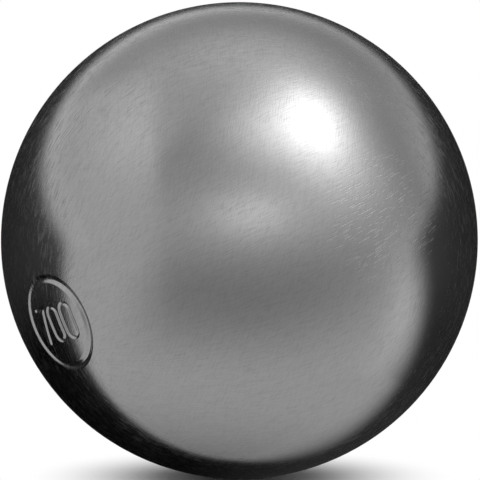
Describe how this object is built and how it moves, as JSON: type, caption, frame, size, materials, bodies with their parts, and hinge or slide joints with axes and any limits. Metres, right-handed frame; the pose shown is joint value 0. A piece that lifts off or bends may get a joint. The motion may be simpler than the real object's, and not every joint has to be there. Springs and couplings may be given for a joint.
{
  "type": "petanque boule",
  "caption": "Hollow steel ball thrown in petanque: two forged half shells joined by a ring weld, with a satin brushed surface and a stamped ring.",
  "frame": {"origin": "centre of the boule", "axes": "+Z is square to the welded joint and points up through the upper half; -Y faces the viewer, with the stamped ring to the viewer's left, below the joint"},
  "size_m": [0.074, 0.074, 0.074],
  "materials": {
    "shell_steel": "satin, fine scratches in every direction",
    "weld_steel": "turned and brushed flush with the shells"
  },
  "bodies": {
    "root": {"upper_half_shell": "shell_steel", "lower_half_shell": "shell_steel", "weld_bead": "weld_steel"}
  },
  "joints": []
}
